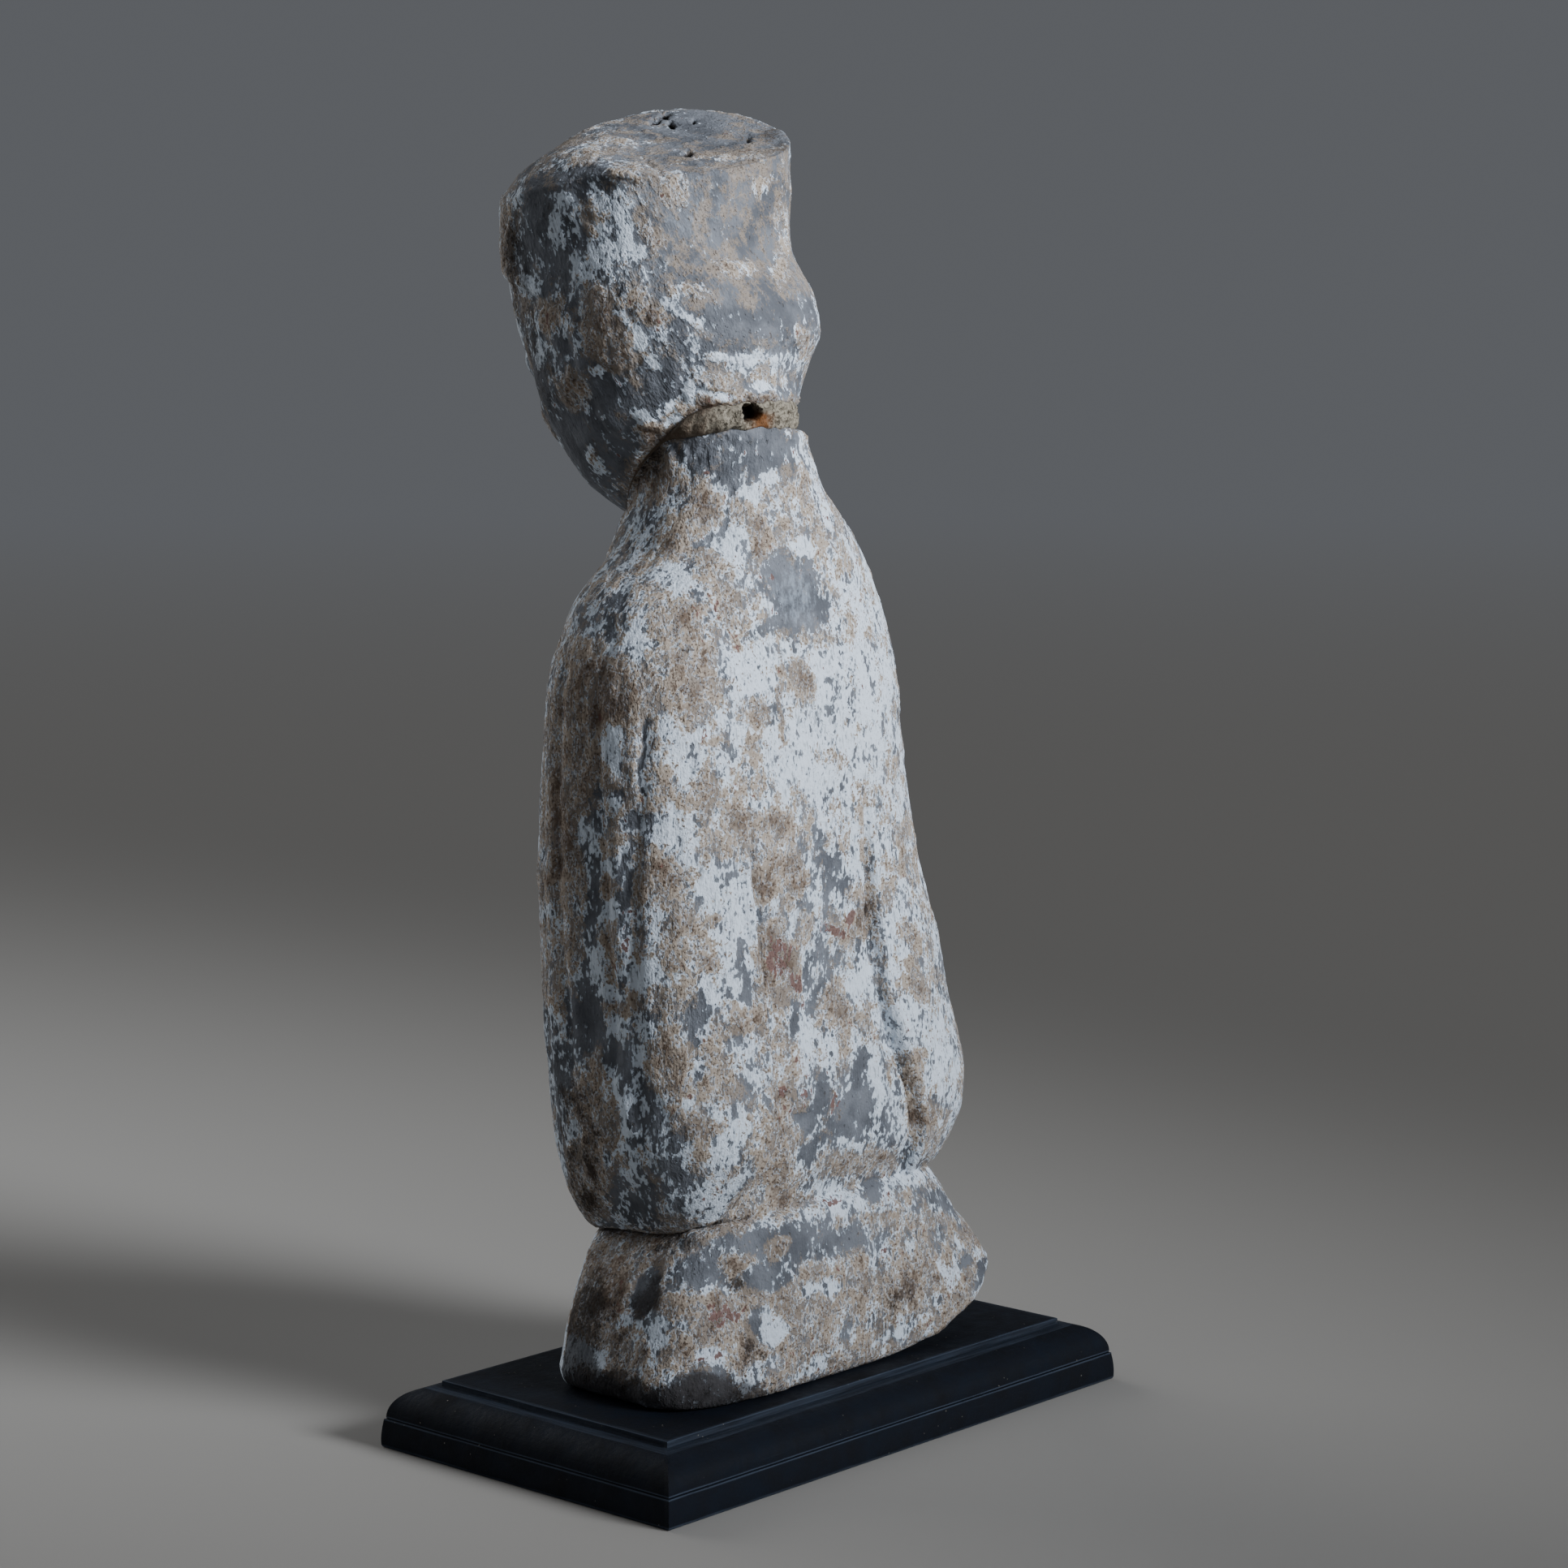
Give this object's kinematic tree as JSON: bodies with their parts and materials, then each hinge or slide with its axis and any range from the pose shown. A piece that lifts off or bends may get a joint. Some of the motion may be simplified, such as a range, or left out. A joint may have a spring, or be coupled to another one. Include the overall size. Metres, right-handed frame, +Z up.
{
  "type": "pottery tomb figure",
  "caption": "Grey pottery tomb figure with bowed, hooded head, long joined sleeves and flared skirt, mended at the neck, on a black wooden plinth with a moulded edge.",
  "frame": {"origin": "middle of the plinth's underside, which rests on the table or shelf", "axes": "+Z up; +X along the plinth's long side, to the figure's own left; the figure faces -Y"},
  "size_m": [0.1824, 0.1188, 0.355],
  "materials": {
    "slipped_clay": "unglazed grey clay, matt, with worn white slip, earth stains and faint red pigment",
    "sandy_mortar": "matt, sandy, with a rust stain",
    "black_wood": "black painted, satin, rubbed at its edges"
  },
  "bodies": {
    "root": {"body": "slipped_clay", "head": "slipped_clay", "neck_mortar": "sandy_mortar", "plinth": "black_wood"}
  },
  "joints": []
}
